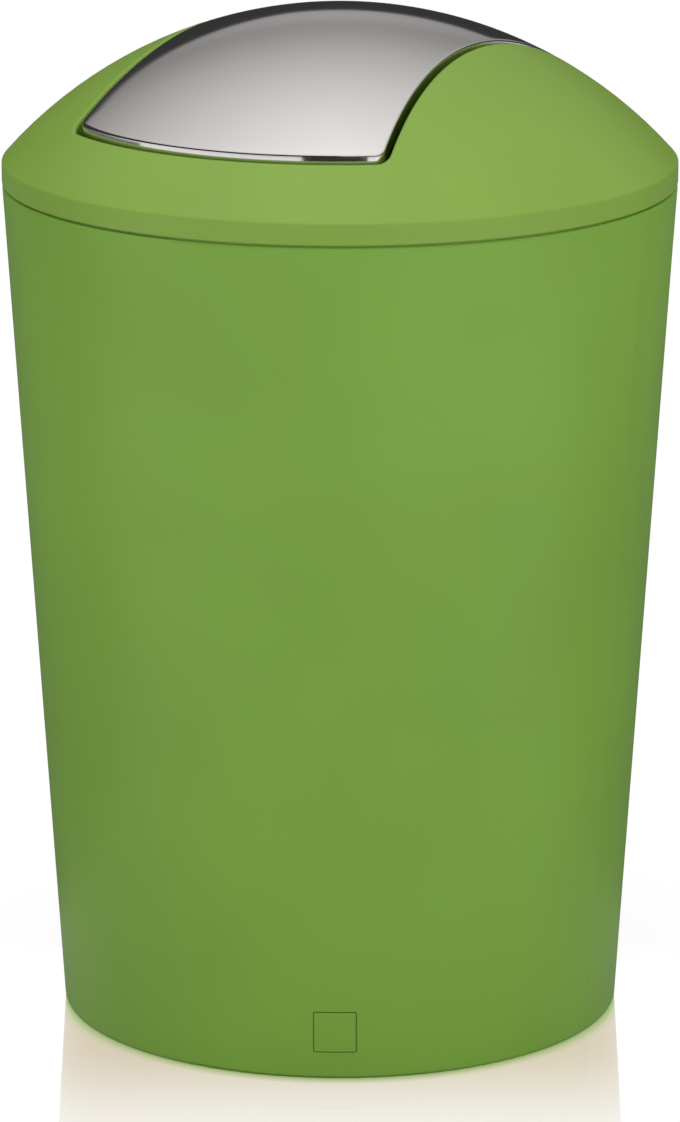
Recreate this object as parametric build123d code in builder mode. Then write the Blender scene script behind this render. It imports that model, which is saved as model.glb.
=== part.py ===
from build123d import *
import os
from math import cos, radians, sin, sqrt

# Swing-lid bin: a tapered bucket, a domed lid that plugs into it, and a metal-topped flap
# that swings in the lid about a level axis.
# Frame: +Z up, origin on the floor under the centre, X along the flap's swing axis.
# Driving dimensions, in millimetres and degrees.

# Bucket
body_height = 315.3
rim_radius = 125.1
base_radius = 104.9
body_wall = 3.0
floor_thickness = 3.0
base_edge_rounding = 2.0
rim_outer_rounding = 1.2
rim_inner_rounding = 0.4
floor_corner_rounding = 6.0
standing_ring_width = 6.0
standing_ring_height = 2.0

# Badge, low on the front of the bucket
badge_size = 15.2
badge_height = 18.7
badge_azimuth = 27.6
badge_corner_rounding = 0.3
badge_thickness = 0.8
badge_border = 0.4
badge_proud = 0.05
bond_gap = 0.02

# Lid
total_height = 380.3
shoulder_rise = 7.76
shoulder_overhang = 0.15
shoulder_rounding = 1.5
band_overhang = 0.1
band_edge_rounding = 0.4
lid_wall = 2.5
seam_gap = 0.8
seat_inset = 1.5
spigot_depth = 12.0
spigot_wall = 2.5
spigot_clearance = 0.5
spigot_lead_in = 0.8
lid_corner_rounding = 2.0

# Throw-in opening, seen from above: two end arcs about the lid's centre and two waisted sides
opening_end_margin = 19.6
opening_half_width = 57.0
opening_waist_radius = 460.0
opening_corner_rounding = 6.5
opening_edge_rounding = 1.2
collar_wall = 2.0
collar_depth = 12.0

# Flap: a thin metal skin over a plastic carrier
flap_gap = 2.1
skin_thickness = 0.6
skin_fold_rounding = 0.8
skin_lip_depth = 5.0
carrier_gap = 0.1
carrier_wall = 2.0
carrier_rim_depth = 6.0
rib_depth = 7.0
rib_thickness = 1.8
rib_spacing = 30.0

# Cheeks that hang under the flap and carry its pins and its counterweight
cheek_thickness = 4.0
cheek_half_width = 10.0
cheek_inset = 1.1
cheek_boss_radius = 6.0
cheek_boss_end_wall = 1.5

# Pivots
pivot_drop = 9.1
pin_radius = 2.5
pin_grip = 9.0
pin_head_radius = 3.8
pin_head_length = 1.5
press_clearance = 0.02
running_clearance = 0.05
end_clearance = 0.4
bush_wall = 1.5
bush_flange_radius = 5.5
bush_flange_length = 1.2
washer_radius = 5.2
washer_thickness = 0.8
lid_boss_wall = 2.0
lid_boss_depth = 6.0
lid_boss_proud = 0.3

# Counterweight
bar_radius = 6.0
bar_drop = 17.5
bar_end_gap = 0.1
screw_radius = 2.0
screw_length = 14.0
screw_hole_clearance = 0.25
screw_head_radius = 3.6
screw_head_length = 2.0
screw_socket_radius = 1.4
screw_socket_depth = 1.2
thread_run_out = 2.0

# Stops of the swing
stop_lug_radius = 2.0
stop_lug_drop = 9.5
stop_rib_height = 1.3
stop_rib_thickness = 2.0
stop_rib_reach = 4.0
stop_overlap = 0.8

# Heights and radii that follow from the sizes above: the lid's from the rim that it covers, the
# dome's from its top and its shoulder
floor_top = standing_ring_height + floor_thickness
band_bottom = body_height + seam_gap
spigot_bottom = body_height - spigot_depth
shoulder_radius = rim_radius + shoulder_overhang
band_radius = rim_radius + band_overhang
seat_radius = rim_radius - seat_inset
opening_end_radius = rim_radius - opening_end_margin
dome_rise = total_height - band_bottom - shoulder_rise
dome_radius = (shoulder_radius**2 + dome_rise**2) / (2 * dome_rise)
dome_centre = total_height - dome_radius
waist_centre = opening_half_width + opening_waist_radius
bush_radius = pin_radius + running_clearance + bush_wall
bush_bore_radius = bush_radius + press_clearance
lid_boss_radius = bush_bore_radius + lid_boss_wall

# Distances from the centre along the swing axis, from the lid inwards to the pin's root
lid_boss_end = opening_half_width + lid_boss_depth
lid_boss_face = opening_half_width - lid_boss_proud
bush_face = lid_boss_face - bush_flange_length
washer_face = bush_face - end_clearance
cheek_boss_face = washer_face - washer_thickness
pin_head_face = lid_boss_end + end_clearance
pin_root = cheek_boss_face - pin_grip
cheek_boss_root = pin_root - cheek_boss_end_wall

# Heights of the pivots, under the dome where their bosses end, and of the counterweight
pivot_height = dome_centre + sqrt(dome_radius**2 - lid_boss_end**2) - pivot_drop
bar_height = pivot_height - bar_drop

# Insets from the opening's outline and depths under the dome, for the flap's layers
carrier_inset = flap_gap + skin_thickness + carrier_gap
carrier_drop = skin_thickness + carrier_gap
fold_inner_rounding = skin_fold_rounding - skin_thickness
cheek_face = opening_half_width - carrier_inset - cheek_inset
cheek_root = cheek_face - cheek_thickness


def cone_radius(height):
    """Outer radius of the bucket at a height."""
    return base_radius + (rim_radius - base_radius) * height / body_height


spigot_radius = cone_radius(spigot_bottom) - body_wall - spigot_clearance
spigot_inner_radius = spigot_radius - spigot_wall


def dome_point(radius, drop=0.0):
    """Radius and height of a point that lies drop under the dome's outer surface."""
    return (radius, dome_centre + sqrt((dome_radius - drop) ** 2 - radius**2))


def corner(sketch, point):
    """The vertex of a sketch that is nearest to a point."""
    return sketch.vertices().sort_by_distance((point[0], point[1], 0))[0]


def dome_ball(drop, mode):
    """Ball of the dome's curvature, drop under its outer surface, with no pole on top."""
    with Locations((0, 0, dome_centre)):
        Sphere(dome_radius - drop, rotation=(0, 90, 0), mode=mode)


def dome_edges(part, drop):
    """Edges of the opening or the flap that lie drop under the dome's outer surface."""
    centre = Vector(0, 0, dome_centre)
    found = ShapeList()
    for edge in part.edges():
        middle = edge.position_at(0.5)
        on_ball = abs((middle - centre).length - (dome_radius - drop)) < 0.01
        if on_ball and Vector(middle.X, middle.Y).length < opening_end_radius + 0.1:
            found.append(edge)
    return found


def opening_plan(inset):
    """Plan of the waisted opening, with its whole outline moved inwards by inset."""
    with BuildSketch() as plan:
        Circle(opening_end_radius - inset)
        with Locations((waist_centre, 0), (-waist_centre, 0)):
            Circle(opening_waist_radius + inset, mode=Mode.SUBTRACT)
        fillet(plan.vertices(), opening_corner_rounding - inset)
    return plan.sketch


def flap_layer(inset, drop, depth, rounding=0.0):
    """Solid of the opening's plan, moved inwards by inset, between two depths of the dome."""
    with BuildPart() as layer:
        with BuildSketch(Plane.XY.offset(dome_centre)):
            add(opening_plan(inset))
        extrude(amount=dome_radius)
        dome_ball(drop, Mode.INTERSECT)
        dome_ball(depth, Mode.SUBTRACT)
        if rounding > 0:
            fillet(dome_edges(layer, drop), rounding)
    return layer.part


def side_plane(distance, side, height=0.0):
    """Plane square to the swing axis that faces outwards on one side, +1 right or -1 left."""
    return Plane(origin=(side * distance, 0, height), x_dir=(0, side, 0), z_dir=(side, 0, 0))


def round_bar(radius, start, end, side, mode=Mode.ADD, height=pivot_height, bore=0.0):
    """Bar, or tube, about a line along the swing axis, between two distances from the centre."""
    with BuildSketch(side_plane(start, side, height)) as section:
        Circle(radius)
        if bore > 0:
            Circle(bore, mode=Mode.SUBTRACT)
    extrude(section.sketch, amount=end - start, mode=mode)


def badge_solid(grow, outwards, inwards):
    """Square plate that follows the bucket's wall, grown all round, between two depths."""
    side = badge_size + 2 * grow
    low = badge_height - badge_size
    high = badge_height + badge_size
    turn = radians(badge_azimuth)
    facing = Plane(
        origin=(0, 0, badge_height),
        x_dir=(cos(turn), sin(turn), 0),
        z_dir=(sin(turn), -cos(turn), 0),
    )
    with BuildPart() as plate:
        with BuildSketch(Plane.XZ):
            with BuildLine():
                Polyline(
                    (cone_radius(low) + outwards, low),
                    (cone_radius(high) + outwards, high),
                    (cone_radius(high) - inwards, high),
                    (cone_radius(low) - inwards, low),
                    close=True,
                )
            make_face()
        revolve(axis=Axis.Z)
        with BuildSketch(facing):
            RectangleRounded(side, side, badge_corner_rounding + grow)
        extrude(amount=rim_radius + outwards, mode=Mode.INTERSECT)
    return plate.part


def write(builder, name):
    """Name a finished piece and write it out."""
    builder.part.label = name
    export_step(builder.part, f"parts/{name}.step")


os.makedirs("parts", exist_ok=True)

# Bucket: tapered wall, flat floor and a standing ring, with a shallow pocket for the badge
badge_pocket = badge_solid(badge_border, badge_thickness, badge_thickness)
ring_inner_radius = base_radius - base_edge_rounding - standing_ring_width
base_corner = (base_radius, 0)
rim_corner = (rim_radius, body_height)
mouth_corner = (rim_radius - body_wall, body_height)
floor_corner = (cone_radius(floor_top) - body_wall, floor_top)
with BuildPart() as bin_body:
    with BuildSketch(Plane.XZ) as body_profile:
        with BuildLine():
            Polyline(
                base_corner,
                rim_corner,
                mouth_corner,
                floor_corner,
                (0, floor_top),
                (0, standing_ring_height),
                (ring_inner_radius, standing_ring_height),
                (ring_inner_radius, 0),
                close=True,
            )
        make_face()
        fillet(corner(body_profile, base_corner), base_edge_rounding)
        fillet(corner(body_profile, rim_corner), rim_outer_rounding)
        fillet(corner(body_profile, mouth_corner), rim_inner_rounding)
        fillet(corner(body_profile, floor_corner), floor_corner_rounding)
    revolve(axis=Axis.Z)
    add(badge_pocket, mode=Mode.SUBTRACT)
write(bin_body, "bin_body")

# Badge: a bare plate in its pocket, whose thin gap shows as its outline
with BuildPart() as badge_plate:
    add(badge_solid(0, badge_proud, badge_thickness - bond_gap))
write(badge_plate, "badge_plate")

# Collar: the wall that turns down round the opening, before the opening is cut through it
with BuildPart() as collar:
    with BuildSketch(Plane.XY.offset(dome_centre)):
        add(opening_plan(-collar_wall))
    extrude(amount=dome_radius)
    dome_ball(lid_wall / 2, Mode.INTERSECT)
    dome_ball(collar_depth, Mode.SUBTRACT)

# Webs that tie the lid's bearing bosses to the underside of the dome
with BuildPart() as boss_webs:
    for side in (1, -1):
        with BuildSketch(side_plane(opening_half_width + collar_wall / 2, side, pivot_height)):
            with Locations((0, lid_boss_radius)):
                Rectangle(lid_boss_radius, 2 * lid_boss_radius)
        extrude(amount=lid_boss_depth - collar_wall / 2)
    dome_ball(lid_wall / 2, Mode.INTERSECT)

# Lid: dome, band, seat, spigot, collar, bearing bosses and stops in one moulding
stop_rib_centre = opening_half_width + (collar_wall / 2 - stop_rib_height) / 2
shoulder_corner = dome_point(shoulder_radius)
band_corner = (band_radius, band_bottom)
spigot_corner = (spigot_radius, spigot_bottom)
inner_corner = dome_point(spigot_inner_radius, lid_wall)
with BuildPart() as lid_shell:
    with BuildSketch(Plane.XZ) as lid_profile:
        with BuildLine():
            ThreePointArc(dome_point(0), dome_point(shoulder_radius / 2), shoulder_corner)
            Polyline(
                shoulder_corner,
                band_corner,
                (seat_radius, band_bottom),
                (seat_radius, body_height),
                (spigot_radius, body_height),
                spigot_corner,
                (spigot_inner_radius, spigot_bottom),
                inner_corner,
            )
            ThreePointArc(
                inner_corner,
                dome_point(spigot_inner_radius / 2, lid_wall),
                dome_point(0, lid_wall),
            )
            Line(dome_point(0, lid_wall), dome_point(0))
        make_face()
        fillet(corner(lid_profile, shoulder_corner), shoulder_rounding)
        fillet(corner(lid_profile, band_corner), band_edge_rounding)
        fillet(corner(lid_profile, inner_corner), lid_corner_rounding)
        chamfer(corner(lid_profile, spigot_corner), spigot_lead_in)
    revolve(axis=Axis.Z)
    add(collar.part)
    with BuildSketch():
        add(opening_plan(0))
    extrude(amount=total_height, mode=Mode.SUBTRACT)
    fillet(dome_edges(lid_shell, 0), opening_edge_rounding)
    add(boss_webs.part)
    for side in (1, -1):
        round_bar(lid_boss_radius, lid_boss_face, lid_boss_end, side)
        for way in (1, -1):
            with Locations((side * stop_rib_centre, way * stop_lug_drop, pivot_height)):
                Box(stop_rib_height + collar_wall / 2, stop_rib_reach, stop_rib_thickness)
        round_bar(bush_bore_radius, bush_face, lid_boss_end, side, Mode.SUBTRACT)
write(lid_shell, "lid_shell")

# Metal skin of the flap: the dome's curve with a lip turned down all round
skin_core = flap_layer(
    flap_gap + skin_thickness,
    skin_thickness,
    skin_lip_depth + carrier_wall,
    fold_inner_rounding,
)
with BuildPart() as flap_skin:
    add(flap_layer(flap_gap, 0, skin_lip_depth, skin_fold_rounding))
    add(skin_core, mode=Mode.SUBTRACT)
write(flap_skin, "flap_skin")

# Ribs of the carrier: a grid of straight ribs, cut to the flap's curve
rib_rows = int(2 * opening_end_radius / rib_spacing)
rib_columns = int(2 * opening_half_width / rib_spacing)
rib_length = 2 * opening_end_radius
rib_limits = flap_layer(carrier_inset + carrier_wall / 2, carrier_drop + carrier_wall / 2, rib_depth)
with BuildPart() as ribs:
    with BuildSketch():
        with GridLocations(rib_spacing, 0, rib_columns, 1):
            Rectangle(rib_thickness, rib_length)
        with GridLocations(0, rib_spacing, 1, rib_rows):
            Rectangle(rib_length, rib_thickness)
    extrude(amount=total_height)
    add(rib_limits, mode=Mode.INTERSECT)

# Cheeks: two tongues under the flap, one at each pivot
with BuildPart() as cheeks:
    for side in (1, -1):
        with BuildSketch(side_plane(cheek_root, side)):
            with Locations((0, (total_height + bar_height) / 2)):
                Rectangle(2 * cheek_half_width, total_height - bar_height)
            with Locations((0, bar_height)):
                Circle(cheek_half_width)
        extrude(amount=cheek_thickness)
    dome_ball(carrier_drop + carrier_wall / 2, Mode.INTERSECT)

# Carrier: the plastic frame under the skin, with ribs, cheeks, pin bosses and stop lugs
lug_end = opening_half_width - stop_rib_height + stop_overlap
screw_hole_radius = screw_radius + screw_hole_clearance
carrier_hollow = flap_layer(
    carrier_inset + carrier_wall,
    carrier_drop + carrier_wall,
    carrier_rim_depth + carrier_wall,
)
with BuildPart() as flap_carrier:
    add(flap_layer(carrier_inset, carrier_drop, carrier_rim_depth, fold_inner_rounding))
    add(carrier_hollow, mode=Mode.SUBTRACT)
    add(ribs.part)
    add(cheeks.part)
    for side in (1, -1):
        round_bar(cheek_boss_radius, cheek_boss_root, cheek_boss_face, side)
        round_bar(stop_lug_radius, cheek_root, lug_end, side, height=pivot_height - stop_lug_drop)
        round_bar(pin_radius + press_clearance, pin_root, cheek_boss_face, side, Mode.SUBTRACT)
        round_bar(screw_hole_radius, cheek_root, cheek_face, side, Mode.SUBTRACT, bar_height)
write(flap_carrier, "flap_carrier")

# Pivot pins, bushes and thrust washers, one of each on each side
running_bore = pin_radius + running_clearance
for side, side_name in ((1, "right"), (-1, "left")):
    with BuildPart() as pivot_pin:
        round_bar(pin_radius, pin_root, pin_head_face, side)
        round_bar(pin_head_radius, pin_head_face, pin_head_face + pin_head_length, side)
    write(pivot_pin, f"pivot_pin_{side_name}")

    with BuildPart() as pivot_bush:
        round_bar(bush_flange_radius, bush_face, lid_boss_face, side, bore=running_bore)
        round_bar(bush_radius, lid_boss_face, lid_boss_end, side, bore=running_bore)
    write(pivot_bush, f"pivot_bush_{side_name}")

    with BuildPart() as thrust_washer:
        round_bar(washer_radius, cheek_boss_face, washer_face, side, bore=running_bore)
    write(thrust_washer, f"thrust_washer_{side_name}")

# Counterweight: a steel bar between the cheeks, tapped at both ends
bar_end = cheek_root - bar_end_gap
screw_tip = cheek_face - screw_length
tap_root = screw_tip - thread_run_out
tap_radius = screw_radius + press_clearance
with BuildPart() as counterweight_bar:
    for side in (1, -1):
        round_bar(bar_radius, 0, bar_end, side, height=bar_height)
    for side in (1, -1):
        round_bar(tap_radius, tap_root, bar_end, side, Mode.SUBTRACT, bar_height)
write(counterweight_bar, "counterweight_bar")

# Screws of the counterweight: socket heads outside the cheeks, one node of two solids
head_end = cheek_face + screw_head_length
with BuildPart() as counterweight_screws:
    for side in (1, -1):
        round_bar(screw_radius, screw_tip, cheek_face, side, height=bar_height)
        round_bar(screw_head_radius, cheek_face, head_end, side, height=bar_height)
        with BuildSketch(side_plane(head_end, side, bar_height)):
            RegularPolygon(screw_socket_radius, 6)
        extrude(amount=-screw_socket_depth, mode=Mode.SUBTRACT)
write(counterweight_screws, "counterweight_screws")
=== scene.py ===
# %% [markdown]
# Swing-lid bin, dressed in Blender
#
# The packed model gives every piece its place, so this script never moves one. It adds what a
# model of solids can't show: moulded plastic, polished steel, soft studio light and a camera.

# %% Load the frame
import math

import bpy
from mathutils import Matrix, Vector


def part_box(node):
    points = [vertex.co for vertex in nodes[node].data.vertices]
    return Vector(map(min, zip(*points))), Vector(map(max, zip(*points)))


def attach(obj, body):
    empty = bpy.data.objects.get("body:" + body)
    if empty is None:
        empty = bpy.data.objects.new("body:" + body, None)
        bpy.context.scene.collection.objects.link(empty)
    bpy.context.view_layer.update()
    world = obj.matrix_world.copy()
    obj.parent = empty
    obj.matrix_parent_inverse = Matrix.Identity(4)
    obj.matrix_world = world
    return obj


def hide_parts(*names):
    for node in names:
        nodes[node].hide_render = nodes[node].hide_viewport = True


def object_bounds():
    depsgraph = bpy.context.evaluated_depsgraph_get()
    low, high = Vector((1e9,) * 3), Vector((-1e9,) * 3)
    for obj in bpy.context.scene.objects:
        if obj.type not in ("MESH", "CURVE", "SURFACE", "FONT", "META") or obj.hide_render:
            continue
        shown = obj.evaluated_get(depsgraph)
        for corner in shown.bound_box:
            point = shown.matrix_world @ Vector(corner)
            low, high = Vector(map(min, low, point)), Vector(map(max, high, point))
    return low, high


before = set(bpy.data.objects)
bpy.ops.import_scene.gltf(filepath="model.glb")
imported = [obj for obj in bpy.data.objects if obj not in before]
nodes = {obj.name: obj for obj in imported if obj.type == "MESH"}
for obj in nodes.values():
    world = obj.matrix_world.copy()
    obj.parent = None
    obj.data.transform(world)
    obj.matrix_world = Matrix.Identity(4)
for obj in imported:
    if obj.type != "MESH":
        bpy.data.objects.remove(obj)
cad_low, cad_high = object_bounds()

# %% [markdown]
# Main sizes
#
# The bin is a tapered bucket with a domed lid. The bucket's top and the lid's top are read from
# the boxes of the packed pieces. The rim's radius is written down as the source has it, because
# the lid stands a hair outside the rim and sets the width of the whole box.

# %% Read the main sizes
MM = 0.001
body_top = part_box("bin_body")[1].z
bin_top = cad_high.z
rim_radius = 125.1 * MM
print("rim radius", rim_radius, "bucket top", round(body_top, 4), "top", round(bin_top, 4))

# %% [markdown]
# The camera
#
# The photograph was taken from well back, a little above the lid: the rim and the base show as
# thin ellipses, and the sides hardly converge. A camera could be placed by eye, but the fit is
# closer when its place is worked out from those outlines: it stands about 2.3 metres away, with
# its lens pointing some fourteen degrees down. The flap's swing axis is turned away from the
# picture by the azimuth. On an upright picture Blender's sensor spans the height, so the lens is
# counted in pixels of the photograph's height.

# %% Place the camera
VIEW_AZIMUTH = math.radians(28.6)
VIEW_DISTANCE = 2.3006
EYE_HEIGHT = 0.7624
VIEW_TILT = 0.2522
FOCAL_PIXELS = 6311
FRAME_HEIGHT = 1122
SENSOR = 36

camera_data = bpy.data.cameras.new("camera")
camera_data.sensor_width = SENSOR
camera_data.lens = FOCAL_PIXELS * SENSOR / FRAME_HEIGHT
camera = bpy.data.objects.new("camera", camera_data)
bpy.context.scene.collection.objects.link(camera)
bpy.context.scene.camera = camera
camera.location = (
    VIEW_DISTANCE * math.sin(VIEW_AZIMUTH),
    -VIEW_DISTANCE * math.cos(VIEW_AZIMUTH),
    EYE_HEIGHT,
)
camera.rotation_euler = (math.pi / 2 - VIEW_TILT, 0, VIEW_AZIMUTH)
print("lens", round(camera_data.lens, 1), "camera at", [round(v, 3) for v in camera.location])

# %% [markdown]
# Shader maths as Python
#
# A material could be built link by link, but it is easier to read as an expression. A wrapped
# socket knows how to add, subtract, multiply and divide, and each operation adds one Math node.
# The reflected forms let a plain number stand first, as in 1 - mask.

# %% A socket that can be reckoned with
class Value:
    """A socket that can be used in arithmetic."""

    def __init__(self, net, socket):
        self.net = net
        self.socket = socket

    def math(self, operation, *others):
        """One Math node, with this value first."""
        return self.net.node("ShaderNodeMath", {"operation": operation}, self, *others)

    def __add__(self, other):
        return self.math("ADD", other)

    def __radd__(self, other):
        return self.math("ADD", other)

    def __sub__(self, other):
        return self.math("SUBTRACT", other)

    def __rsub__(self, other):
        return self.net.node("ShaderNodeMath", {"operation": "SUBTRACT"}, other, self)

    def __mul__(self, other):
        return self.math("MULTIPLY", other)

    def __rmul__(self, other):
        return self.math("MULTIPLY", other)

    def __truediv__(self, other):
        return self.math("DIVIDE", other)

    def clip(self, low, high):
        """This value's place between low and high, as a smooth step from 0 to 1."""
        settings = {"interpolation_type": "SMOOTHSTEP"}
        return self.net.node("ShaderNodeMapRange", settings, self, low, high, 0.0, 1.0)


print("wrapped socket ready")

# %% [markdown]
# Any other node
#
# Every node that isn't plain arithmetic comes from one method, which sets the node's own
# settings first and its sockets after. Colours are blended by a Mix node, because a Math node
# would turn them grey.

# %% A material's nodes, made by calls
class Net:
    """A material or world, whose nodes are made by calls."""

    def __init__(self, owner):
        owner.use_nodes = True
        self.tree = owner.node_tree
        self.tree.nodes.clear()

    def set(self, socket, value):
        """Links a wrapped socket, or writes a plain value."""
        if isinstance(value, Value):
            self.tree.links.new(value.socket, socket)
        elif isinstance(value, (tuple, list)) and len(value) == 3 and len(socket.default_value) == 4:
            socket.default_value = (*value, 1)
        else:
            socket.default_value = value

    def node(self, kind, settings, *values, out=0, **named):
        """One node: its settings, then its sockets in order, then its sockets by name."""
        made = self.tree.nodes.new(kind)
        for name, value in settings.items():
            setattr(made, name, value)
        for index, value in enumerate(values):
            if value is not None:
                self.set(made.inputs[index], value)
        for name, value in named.items():
            self.set(made.inputs[name.replace("_", " ")], value)
        return Value(self, made.outputs[out])

    def mix(self, factor, first, second):
        """A blend of two colours."""
        made = self.tree.nodes.new("ShaderNodeMix")
        made.data_type = "RGBA"
        for name, value in (("Factor_Float", factor), ("A_Color", first), ("B_Color", second)):
            socket = next(s for s in made.inputs if s.identifier == name)
            self.set(socket, value)
        return Value(self, next(s for s in made.outputs if s.identifier == "Result_Color"))

    def along(self, vector, direction):
        """How far a vector reaches in a direction."""
        settings = {"operation": "DOT_PRODUCT"}
        return self.node("ShaderNodeVectorMath", settings, vector, direction, out="Value")

    def add(self, first, second):
        """Two shaders' light, added up."""
        return self.node("ShaderNodeAddShader", {}, first, second)

    def place(self):
        """The point on the piece, in metres, before any pose moves it."""
        return self.node("ShaderNodeTexCoord", {}, out="Object")

    def noise(self, scale, detail):
        """A soft random value about one half, at so many features a metre."""
        return self.node("ShaderNodeTexNoise", {}, self.place(), None, scale, detail)

    def bump(self, height, distance, strength):
        """A normal from a height, whose full range is so many metres."""
        return self.node("ShaderNodeBump", {}, strength, distance, None, height)

    def finish(self, shader, kind="ShaderNodeOutputMaterial"):
        """The output node."""
        last = self.tree.nodes.new(kind)
        self.tree.links.new(shader.socket, last.inputs["Surface"])


def new_material(name):
    """A material and its net."""
    material = bpy.data.materials.new(name)
    return material, Net(material)


print("a net can:", [name for name in vars(Net) if name[0] != "_"])

# %% [markdown]
# Moulded plastic
#
# The bucket and the lid are injection moulded in one satin green. A single flat colour would
# look like paint on paper. Real plastic isn't flat: the tool's fine spark texture breaks up its
# gloss, and slow changes of colour and shine come from the way the melt cooled. A fine noise as
# bump gives the texture, and a slow noise moves the colour and the roughness by a few parts in a
# hundred.

# %% How moulded plastic is made
GRAIN_PER_METRE = 2600
GRAIN_DETAIL = 3.0
GRAIN_HEIGHT = 1.5e-5
GRAIN_STRENGTH = 0.35
CLOUDS_PER_METRE = 9
CLOUD_DETAIL = 2.0
CLOUD_SPAN = (0.3, 0.7)
CLOUD_TINT = 0.045
CLOUD_SHINE = 0.05


def moulded_plastic(name, colour, roughness, grain=GRAIN_HEIGHT):
    """Satin moulded plastic with a fine tool texture."""
    material, net = new_material(name)
    clouds = net.noise(CLOUDS_PER_METRE, CLOUD_DETAIL)
    darker = [(1 - CLOUD_TINT) * part for part in colour]
    lighter = [min(1.0, (1 + CLOUD_TINT) * part) for part in colour]
    fine = net.noise(GRAIN_PER_METRE, GRAIN_DETAIL)
    surface = net.node(
        "ShaderNodeBsdfPrincipled",
        {},
        Base_Color=net.mix(clouds.clip(*CLOUD_SPAN), darker, lighter),
        Roughness=roughness + CLOUD_SHINE * (clouds - 0.5),
        Normal=net.bump(fine, grain, GRAIN_STRENGTH),
    )
    net.finish(surface)
    return material


print("grain", GRAIN_HEIGHT, "m high, clouds", round(1 / CLOUDS_PER_METRE, 2), "m wide")

# %% [markdown]
# The five plastics
#
# The lid's green is a shade warmer than the bucket's, as in the photograph: the two are moulded
# apart. The small plate low on the front is bare here. The parts inside aren't seen in the
# photograph: such carriers are dark glass-filled plastic, and bushes and washers are acetal,
# which is left in its natural off-white because it's smooth and slippery without a pigment.

# %% Plastic materials
GREEN = (0.168, 0.345, 0.034)
LID_GREEN = (0.192, 0.342, 0.04)
DARK_GREY = (0.045, 0.045, 0.047)
OFF_WHITE = (0.8, 0.79, 0.74)

green_body = moulded_plastic("green_body_plastic", GREEN, roughness=0.42)
green_lid = moulded_plastic("green_lid_plastic", LID_GREEN, roughness=0.4)
badge_green = moulded_plastic("badge_plastic", GREEN, roughness=0.42, grain=6e-6)
carrier_grey = moulded_plastic("carrier_plastic", DARK_GREY, roughness=0.5)
acetal = moulded_plastic("natural_acetal", OFF_WHITE, roughness=0.3, grain=4e-6)
print("plastics:", [m.name for m in (green_body, green_lid, badge_green, carrier_grey, acetal)])

# %% [markdown]
# Polished sheet
#
# The flap's skin is thin stainless sheet, pressed to the dome's curve and polished. Its colour
# is almost all reflection, so it is made as a metal that mirrors the studio, and not as a grey
# with painted lights. A faint haze softens the mirror, and a very low bump stands for the
# waviness that pressing leaves.

# %% Polished steel
HAZE_PER_METRE = 55
HAZE_DETAIL = 3.0
WAVES_PER_METRE = 14
WAVE_DETAIL = 1.0
WAVE_HEIGHT = 2.0e-5
WAVE_STRENGTH = 0.2
POLISH = 0.075
HAZE_ROUGHNESS = 0.03
STEEL_DULL = (0.87, 0.85, 0.84)
STEEL_BRIGHT = (0.9, 0.88, 0.87)

flap_steel, net = new_material("polished_steel")
haze = net.noise(HAZE_PER_METRE, HAZE_DETAIL)
waves = net.noise(WAVES_PER_METRE, WAVE_DETAIL)
sheet_surface = net.node(
    "ShaderNodeBsdfPrincipled",
    {},
    Base_Color=net.mix(haze, STEEL_DULL, STEEL_BRIGHT),
    Metallic=1.0,
    Roughness=POLISH + HAZE_ROUGHNESS * haze,
    Normal=net.bump(waves, WAVE_HEIGHT, WAVE_STRENGTH),
)
net.finish(sheet_surface)
print("sheet:", flap_steel.name, "roughness", POLISH, "to", POLISH + HAZE_ROUGHNESS)

# %% [markdown]
# Turned and plated steel
#
# The pins, screws and counterweight are plainer. A lathe leaves fine rings round the axis, which
# lies along X: a noise that changes along X alone gives them. Zinc plate adds a cloudy shine.

# %% Turned steel and zinc plate
RINGS_PER_METRE = 9000
RING_HEIGHT = 1.0e-5
RING_STRENGTH = 0.4
PLATE_CLOUDS_PER_METRE = 160
PLATE_CLOUD_DETAIL = 2.0
PLATE_TINT = 0.9
PLATE_SHINE = 0.1


def turned_steel(name, colour, roughness):
    """Turned bar, with fine rings along the swing axis."""
    material, net = new_material(name)
    along_axis = net.node("ShaderNodeSeparateXYZ", {}, net.place())
    lathe = {"noise_dimensions": "1D"}
    rings = net.node("ShaderNodeTexNoise", lathe, W=along_axis * RINGS_PER_METRE, Scale=1.0)
    cloudy = net.noise(PLATE_CLOUDS_PER_METRE, PLATE_CLOUD_DETAIL)
    surface = net.node(
        "ShaderNodeBsdfPrincipled",
        {},
        Base_Color=net.mix(cloudy, [PLATE_TINT * part for part in colour], colour),
        Metallic=1.0,
        Roughness=roughness + PLATE_SHINE * (cloudy - 0.5),
        Normal=net.bump(rings, RING_HEIGHT, RING_STRENGTH),
    )
    net.finish(surface)
    return material


pin_steel = turned_steel("turned_steel", (0.6, 0.6, 0.6), roughness=0.28)
bar_steel = turned_steel("zinc_plate", (0.55, 0.56, 0.58), roughness=0.38)
print("turned and plated:", [m.name for m in (pin_steel, bar_steel)])

# %% [markdown]
# Dress the packed pieces
#
# Each packed piece keeps its mesh and only gets a material in its slot. Modelling them again
# here would bring nothing: their plain turned and moulded shapes are already in the solids.

# %% Give each packed piece its material
FINISHES = {
    "bin_body": green_body,
    "lid_shell": green_lid,
    "badge_plate": badge_green,
    "flap_carrier": carrier_grey,
    "pivot_bush_left": acetal,
    "pivot_bush_right": acetal,
    "thrust_washer_left": acetal,
    "thrust_washer_right": acetal,
    "pivot_pin_left": pin_steel,
    "pivot_pin_right": pin_steel,
    "counterweight_screws": pin_steel,
    "counterweight_bar": bar_steel,
    "flap_skin": flap_steel,
}

for name, material in FINISHES.items():
    for material_slot in nodes[name].material_slots:
        material_slot.material = material
print("dressed", len(FINISHES), "of", len(nodes), "packed pieces")

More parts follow.
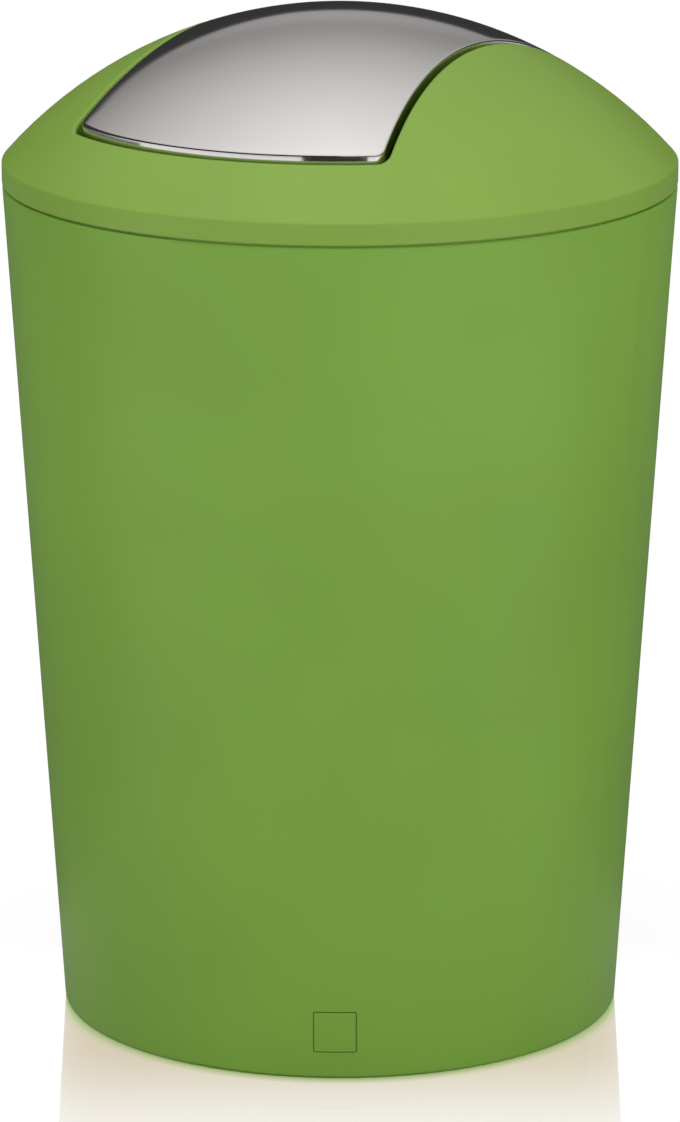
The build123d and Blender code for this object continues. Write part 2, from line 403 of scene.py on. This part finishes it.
# %% [markdown]
# The flap's skin
#
# The skin could stay as packed, but a mirror shows every flat facet, so it is made here again as
# a fine, even mesh of the same sizes. The dome is a sphere that passes through the shoulder of
# the lid and its top.

# %% The skin's sizes, as the packed model has them
SHOULDER_RADIUS = rim_radius + 0.15 * MM
SHOULDER_RISE = 7.76 * MM
SEAM_GAP = 0.8 * MM
DOME_RISE = bin_top - body_top - SEAM_GAP - SHOULDER_RISE
DOME_RADIUS = (SHOULDER_RADIUS**2 + DOME_RISE**2) / (2 * DOME_RISE)
DOME_CENTRE = bin_top - DOME_RADIUS
END_RADIUS = rim_radius - 19.6 * MM
HALF_WIDTH = 57.0 * MM
WAIST_RADIUS = 460.0 * MM
CORNER_RADIUS = 6.5 * MM
FLAP_GAP = 2.1 * MM
SHEET = 0.6 * MM
FOLD = 0.8 * MM
LIP_DEPTH = 5.0 * MM
print("dome radius", round(DOME_RADIUS, 4), "centre height", round(DOME_CENTRE, 4))

# %% [markdown]
# The skin's plan
#
# From above the flap is a waisted oblong: two end arcs about the lid's centre, two hollow sides
# and four round corners. A curve object could draw it, but its points wouldn't match from one
# inset to the next. Worked out arc by arc, every inset has the same count of points in the same
# order, so that rings at different insets can be joined.

# %% Points round the plan
SIDE_STEPS = 26
CORNER_STEPS = 10
END_STEPS = 22


def circle_meeting(first_centre, first_radius, second_centre, second_radius):
    """The point where two circles cross, to the left of the way from first to second."""
    gap = second_centre - first_centre
    along = (first_radius**2 - second_radius**2 + gap.length_squared) / (2 * gap.length)
    across = math.sqrt(first_radius**2 - along**2)
    unit = gap.normalized()
    return first_centre + along * unit + across * Vector((-unit.y, unit.x))


def arc(centre, radius, start, end, steps):
    """Points on an arc from start on, without its last one."""
    turns = [start + (end - start) * step / steps for step in range(steps)]
    return [centre + radius * Vector((math.cos(turn), math.sin(turn))) for turn in turns]


def quarter_plan(inset):
    """One quarter of the plan, from the middle of a side to the middle of an end."""
    middle = Vector((0, 0))
    waist = Vector((HALF_WIDTH + WAIST_RADIUS, 0))
    waist_radius = WAIST_RADIUS + inset
    end_radius = END_RADIUS - inset
    corner = CORNER_RADIUS - inset
    centre = circle_meeting(middle, end_radius - corner, waist, waist_radius + corner)
    from_waist = centre - waist
    side_end = math.atan2(from_waist.y, from_waist.x)
    corner_start = math.atan2(-from_waist.y, -from_waist.x)
    corner_end = math.atan2(centre.y, centre.x)
    points = arc(waist, waist_radius, math.pi, side_end, SIDE_STEPS)
    points += arc(centre, corner, corner_start, corner_end, CORNER_STEPS)
    points += arc(middle, end_radius, corner_end, math.pi / 2, END_STEPS)
    return points + [Vector((0, end_radius))]


def whole_plan(inset):
    """The closed plan, going round from the middle of the right side."""
    quarter = quarter_plan(inset)
    half = quarter + [Vector((-p.x, p.y)) for p in reversed(quarter[:-1])]
    return half[:-1] + [Vector((-p.x, -p.y)) for p in half[:-1]]


print("points round the flap:", len(whole_plan(FLAP_GAP)))

# %% [markdown]
# From rings to a mesh
#
# One helper turns a list of rings into a mesh: each ring is joined to the next by a band of
# four-sided faces, and the first and last rings close on a point. The bands follow the dome, so
# that smooth shading gives an even mirror, and the two rings at the foot of the lip stay sharp.

# %% Mesh helper
def ringed_mesh(name, rings, first_tip, last_tip, sharp_rings):
    """A closed mesh from rings of points, with a point at each end."""
    count = len(rings[0])
    vertices = [first_tip] + [point for ring in rings for point in ring] + [last_tip]
    faces = []
    for index in range(count):
        following = (index + 1) % count
        faces.append((0, 1 + index, 1 + following))
        for ring in range(len(rings) - 1):
            low = 1 + ring * count
            high = low + count
            faces.append((low + index, high + index, high + following, low + following))
        last = 1 + (len(rings) - 1) * count
        faces.append((last + index, len(vertices) - 1, last + following))
    mesh = bpy.data.meshes.new(name)
    mesh.from_pydata(vertices, [], faces)
    mesh.update()
    mesh.shade_smooth()
    ring_of = {}
    for ring in sharp_rings:
        for index in range(count):
            ring_of[1 + ring * count + index] = ring
    for edge in mesh.edges:
        first, second = edge.vertices
        if first in ring_of and ring_of.get(second) == ring_of[first]:
            edge.use_edge_sharp = True
    piece = bpy.data.objects.new(name, mesh)
    bpy.context.scene.collection.objects.link(piece)
    return piece


print("mesh helper ready")

# %% [markdown]
# The rings of the skin
#
# The real skin is pressed in one stroke: the sheet takes the dome's curve and its edge is folded
# down. So the rings run from the middle of the dome out to the fold, over the fold and down the
# lip. A bevel would run into itself on so fine a mesh, so the fold is drawn as a smooth bend
# between three points: on the dome, at the sharp corner and on the lip.

# %% Rings on the dome, over the fold and down the lip
TOP_RINGS = 44
FOLD_STEPS = 7
LIP_STEPS = 4


def dome_height(point, drop):
    """Height of the dome, drop under its outer surface, above a point of the plan."""
    return DOME_CENTRE + math.sqrt((DOME_RADIUS - drop) ** 2 - point.length_squared)


def on_dome(point, drop):
    """The point of the dome above a point of the plan."""
    return Vector((point.x, point.y, dome_height(point, drop)))


def dome_rings(inset, drop):
    """Rings on the dome's surface, from near the middle out to a plan."""
    plan = whole_plan(inset)
    shares = [step / TOP_RINGS for step in range(1, TOP_RINGS)]
    return [[on_dome(point * share, drop) for point in plan] for share in shares]


def fold_rings(inset, drop, rounding):
    """Rings over a fold: from the dome's surface to the head of the lip, along one smooth bend."""
    rings = []
    for step in range(FOLD_STEPS + 1):
        t = step / FOLD_STEPS
        ring = []
        for near, far in zip(whole_plan(inset + rounding), whole_plan(inset)):
            start = on_dome(near, drop)
            bend = on_dome(far, drop)
            end = bend - Vector((0, 0, rounding))
            ring.append((1 - t) ** 2 * start + 2 * t * (1 - t) * bend + t * t * end)
        rings.append(ring)
    return rings


def lip_foot(inset):
    """Ring at the foot of the lip, which follows the dome's curve."""
    return [on_dome(point, LIP_DEPTH) for point in whole_plan(inset)]


print("rings on the dome:", TOP_RINGS - 1, "over the fold:", FOLD_STEPS + 1)

# %% [markdown]
# Build the skin
#
# The rings go down the outside and back up the inside, a sheet's thickness away, so that the
# skin is a closed sheet of its real thickness. It rides on the flap's body and takes the place
# of the packed piece.

# %% Join the rings
outside = dome_rings(FLAP_GAP + FOLD, 0) + fold_rings(FLAP_GAP, 0, FOLD)
foot = lip_foot(FLAP_GAP)
lip_head = outside[-1]
for step in range(1, LIP_STEPS):
    share = step / LIP_STEPS
    outside.append([a.lerp(b, share) for a, b in zip(lip_head, foot)])
outside.append(foot)
inside = dome_rings(FLAP_GAP + FOLD, SHEET) + fold_rings(FLAP_GAP + SHEET, SHEET, FOLD - SHEET)
inside.append(lip_foot(FLAP_GAP + SHEET))
skin = ringed_mesh(
    "polished_skin",
    outside + inside[::-1],
    Vector((0, 0, bin_top)),
    Vector((0, 0, bin_top - SHEET)),
    sharp_rings=(len(outside) - 1, len(outside)),
)
skin.data.materials.append(flap_steel)
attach(skin, "flap")
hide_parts("flap_skin")
print("skin:", len(skin.data.vertices), "points; box", [round(v, 4) for v in skin.dimensions])

# %% [markdown]
# Which way is back
#
# The studio is laid out about the camera: a card that darkens the far edge of the metal has to
# stand behind the bin as the photograph sees it. Two unit vectors turn "right" and "back" in the
# picture into directions of the bin's own frame, and stay put when another view moves the
# camera.

# %% Directions of the studio
RIGHT = Vector((math.cos(VIEW_AZIMUTH), math.sin(VIEW_AZIMUTH), 0))
BACK = Vector((-math.sin(VIEW_AZIMUTH), math.cos(VIEW_AZIMUTH), 0))


def studio_point(right, back, height):
    """A point given as the photograph sees it, in metres."""
    return right * RIGHT + back * BACK + Vector((0, 0, height))


print("back is", [round(v, 3) for v in BACK])

# %% [markdown]
# The floor
#
# The bin stands on a sheet of glossy white acrylic. A plain white gloss would mirror the dark
# parts of the studio as grey. So the sheet is a real mirror only on a patch in front of the
# foot: the mirror, a matt part that takes the shadow and a glow add up to white there, and only
# the mirrored bin shows in it. The mirror is strongest where the foot touches it and fades
# within a few centimetres, in a warm tone. Past the patch the floor glows white and keeps a matt
# part for the shadow. All but the camera's rays meet a plain matt floor, darker round the foot,
# where the real one lies in shade.

# %% Sizes and tones of the floor
FLOOR_SIZE = 6.0
PATCH_BACK = (0.01, 0.07)
PATCH_FRONT = (0.152, 0.22)
PATCH_SIDE = (0.112, 0.2)
MIRROR_FADE = (0.06, 0.18)
FOOT_FADE = (0.103, 0.111)
MIRROR_FOOT = (0.71, 0.61, 0.855)
MIRROR_NEAR = (0.39, 0.56, 0.60)
MIRROR_FAR = [0.3 * part for part in MIRROR_NEAR]
MIRROR_BLUR = 0.03
PATCH_MATT = (0.1, 0.1, 0.1)
PATCH_GLOW = 0.92
OPEN_MATT = (0.2, 0.2, 0.2)
OPEN_WHITE = (1.0, 1.0, 1.0)
OPEN_GLOW = 0.84
SHADE_FADE = (0.1, 0.9)
SHADE = (0.52, 0.52, 0.52)
BOUNCE = (0.9, 0.9, 0.9)


def left_over(colour):
    """The part of white that a mirror of this colour leaves out."""
    return [1 - part for part in colour]


half = FLOOR_SIZE / 2
floor_corners = [(-half, -half, 0), (half, -half, 0), (half, half, 0), (-half, half, 0)]
floor_mesh = bpy.data.meshes.new("floor")
floor_mesh.from_pydata(floor_corners, [], [(0, 1, 2, 3)])
floor = bpy.data.objects.new("floor", floor_mesh)
bpy.context.scene.collection.objects.link(floor)
print("floor", FLOOR_SIZE, "m square")

# %% [markdown]
# Where the floor mirrors
#
# Three distances on the floor say how much it mirrors: from the bin's centre, behind it and to
# its side. A painted mask could do the same, but numbers stay sharp at every zoom and follow the
# studio's two directions.

# %% The floor's material
floor_material, net = new_material("white_acrylic")
distance = net.node("ShaderNodeVectorMath", {"operation": "LENGTH"}, net.place(), out="Value")
behind = net.along(net.place(), BACK)
in_front = behind * -1.0
beside = net.along(net.place(), RIGHT).math("ABSOLUTE")

faded = in_front.clip(*MIRROR_FADE)
off_foot = distance.clip(*FOOT_FADE)
mirror_tone = net.mix(off_foot, MIRROR_FOOT, net.mix(faded, MIRROR_NEAR, MIRROR_FAR))
open_tone = net.mix(faded, left_over(MIRROR_NEAR), left_over(MIRROR_FAR))
glow_tone = net.mix(off_foot, left_over(MIRROR_FOOT), open_tone)
mirror = net.node("ShaderNodeBsdfAnisotropic", {}, mirror_tone, MIRROR_BLUR)
patch_matt = net.node("ShaderNodeBsdfDiffuse", {}, PATCH_MATT)
patch_glow = net.node("ShaderNodeEmission", {}, glow_tone, PATCH_GLOW)
patch = net.add(net.add(patch_matt, patch_glow), mirror)

open_matt = net.node("ShaderNodeBsdfDiffuse", {}, OPEN_MATT)
open_glow = net.node("ShaderNodeEmission", {}, OPEN_WHITE, OPEN_GLOW)
past_ends = behind.clip(*PATCH_BACK).math("MAXIMUM", in_front.clip(*PATCH_FRONT))
past_patch = past_ends.math("MAXIMUM", beside.clip(*PATCH_SIDE))
seen = net.node("ShaderNodeMixShader", {}, past_patch, patch, net.add(open_matt, open_glow))

plain_tone = net.mix(distance.clip(*SHADE_FADE), SHADE, BOUNCE)
plain = net.node("ShaderNodeBsdfDiffuse", {}, plain_tone)
camera_ray = net.node("ShaderNodeLightPath", {}, out="Is Camera Ray")
net.finish(net.node("ShaderNodeMixShader", {}, camera_ray, plain, seen))
floor.data.materials.append(floor_material)
print("mirror patch:", PATCH_SIDE[0] * 2, "by", PATCH_FRONT[0] + PATCH_BACK[0], "m")

# %% [markdown]
# Cards for the reflections
#
# Polished metal shows the studio more than itself. A photographer shapes it with black and white
# cards, and so does this scene. A dark card lies on the floor behind the bin and to both of its
# sides, which gives the bucket its dark edges and the far rim of the flap its black line. A
# small black card stands low in front. A level card behind the foot is white below, for the
# floor's mirror, and dark above, where the bucket's edges would pick it up. Only reflections see
# the cards, and they throw no shadow.

# %% Cards
BLACK = (0.035, 0.032, 0.03)
GREY_FLOOR = (0.15, 0.15, 0.145)
WHITE = (1.0, 1.0, 1.0)


def card(name, corners, colour, colour_behind=None):
    """A flat card that only reflections see, with another colour on its far side if given."""
    mesh = bpy.data.meshes.new(name)
    mesh.from_pydata([studio_point(*corner) for corner in corners], [], [range(len(corners))])
    board = bpy.data.objects.new(name, mesh)
    bpy.context.scene.collection.objects.link(board)
    material, net = new_material(name)
    far_side = net.node("ShaderNodeNewGeometry", {}, out="Backfacing")
    tone = net.mix(far_side, colour, colour_behind or colour)
    net.finish(net.node("ShaderNodeEmission", {}, tone, 1.0))
    mesh.materials.append(material)
    board.visible_camera = False
    board.visible_diffuse = False
    board.visible_shadow = False
    board.visible_transmission = False


card(
    "dark_floor_card",
    [
        (-2.4, -0.1, 0.001),
        (-0.4, -0.1, 0.001),
        (-0.16, 0.09, 0.001),
        (0.16, 0.09, 0.001),
        (0.4, -0.1, 0.001),
        (2.4, -0.1, 0.001),
        (2.4, 2.4, 0.001),
        (-2.4, 2.4, 0.001),
    ],
    GREY_FLOOR,
)
card(
    "dark_front_card",
    [(-0.23, -0.9, 0.02), (0.17, -0.9, 0.02), (0.17, -0.9, 0.26), (-0.23, -0.9, 0.26)],
    BLACK,
)
card(
    "white_foot_card",
    [(-0.5, 0.13, 0.11), (0.5, 0.13, 0.11), (0.5, 0.6, 0.11), (-0.5, 0.6, 0.11)],
    GREY_FLOOR,
    WHITE,
)

# %% [markdown]
# The room, as reflections see it
#
# The far rim of the real flap mirrors dark studio walls, and its middle the bright ceiling. A
# picture of a studio could be wrapped round the scene, but a few sums on the direction do it in
# plain sight. The brightness is low up to some fourteen degrees above the horizon, then grey,
# and rises steadily to white overhead. A faint glow straight behind is the light that spills
# over the backdrop.

# %% Brightness of the room in reflections
DEGREES = 180 / math.pi
WALL_TOP = 14.0
WALL_EDGE = 1.2
WALL_CLIMB = 0.45
WALL_CLIMB_FROM = 3.0
WALL_CLIMB_SPAN = 25.0
GREY_UP_TO = 26.0
CEILING = 88.0
WALL = 0.035
GREY = 0.235
BRIGHT = 0.93
FROM_BACK = 0.4
GLOW = 0.12
GLOW_HEIGHT = 19.0
GLOW_TALL = 9.0
GLOW_SPREAD = 13.0

world = bpy.data.worlds.new("studio")
bpy.context.scene.world = world
world.cycles.sampling_method = "NONE"
net = Net(world)
way = net.node("ShaderNodeTexCoord", {}, out="Generated")
rise = net.node("ShaderNodeSeparateXYZ", {}, way, out="Z").math("ARCSINE") * DEGREES
sideways = net.along(way, RIGHT)
backwards = net.along(way, BACK)
bearing = sideways.math("ARCTAN2", backwards) * DEGREES
from_back = backwards.math("ARCCOSINE") * DEGREES

climb = (1 - FROM_BACK) * rise + FROM_BACK * from_back
ramp = {"interpolation_type": "LINEAR"}
ceiling = net.node("ShaderNodeMapRange", ramp, climb, GREY_UP_TO, CEILING, GREY, BRIGHT)
glow_across = (bearing / GLOW_SPREAD).math("POWER", 2.0)
glow_up = ((rise - GLOW_HEIGHT) / GLOW_TALL).math("POWER", 2.0)
glow = GLOW * ((glow_across + glow_up) * -1.0).math("EXPONENT")
past_step = (bearing * -1.0 - WALL_CLIMB_FROM).math("MAXIMUM", 0.0)
wall_top = WALL_TOP + WALL_CLIMB * past_step.math("MINIMUM", WALL_CLIMB_SPAN)
over_wall = (rise - wall_top).clip(-WALL_EDGE, WALL_EDGE)
reflected = WALL + over_wall * (ceiling + glow - WALL)
print("dark walls to", WALL_TOP, "degrees, white from", CEILING)

# %% [markdown]
# The room as light
#
# Matt surfaces are lit by a bright room, a little darker behind the bin, so that the bucket's
# edges fall away. The camera itself sees plain white, which costs no light on the bin. Which of
# the three a ray meets is told by the kind of ray.

# %% World
ROOM = 0.9
BACK_SHADE = 0.22
BACK_SHADE_SPAN = (-0.6, 1.0)
ROOM_TINT = (1.0, 0.985, 0.975)

camera_ray = net.node("ShaderNodeLightPath", {}, out="Is Camera Ray")
glossy_ray = net.node("ShaderNodeLightPath", {}, out="Is Glossy Ray")
lit = ROOM * (1 - BACK_SHADE * backwards.clip(*BACK_SHADE_SPAN))
strength = camera_ray + glossy_ray * reflected + (1 - camera_ray) * (1 - glossy_ray) * lit
room = net.node("ShaderNodeBackground", {}, ROOM_TINT, strength)
net.finish(room, "ShaderNodeOutputWorld")
print("room light", ROOM, "shaded behind by", BACK_SHADE)

# %% [markdown]
# Lamps
#
# Small lamps would give the satin plastic hard bright spots. Three large soft ones shape it: one
# above and in front makes the dome lighter than the sides, one to the right gives the bucket its
# broad, soft light, and a weak one lifts its left side. None of them shows in the metal.

# %% Lamps
def soft_lamp(name, place, aim, size, power):
    """A square soft lamp that faces a point and isn't mirrored."""
    data = bpy.data.lights.new(name, "AREA")
    data.shape = "SQUARE"
    data.size = size
    data.energy = power
    lamp = bpy.data.objects.new(name, data)
    lamp.location = studio_point(*place)
    facing = studio_point(*aim) - studio_point(*place)
    lamp.rotation_euler = facing.to_track_quat("-Z", "Y").to_euler()
    lamp.visible_glossy = False
    bpy.context.scene.collection.objects.link(lamp)


soft_lamp("overhead", place=(-0.25, -0.4, 1.75), aim=(0, 0, 0.3), size=1.3, power=6.2)
soft_lamp("right_front", place=(1.4, -1.6, 0.9), aim=(0, 0, 0.2), size=1.2, power=7)
soft_lamp("left_side", place=(-1.5, -0.5, 0.6), aim=(0, 0, 0.2), size=1.2, power=1)
bpy.context.scene.view_settings.view_transform = "Standard"

# %% [markdown]
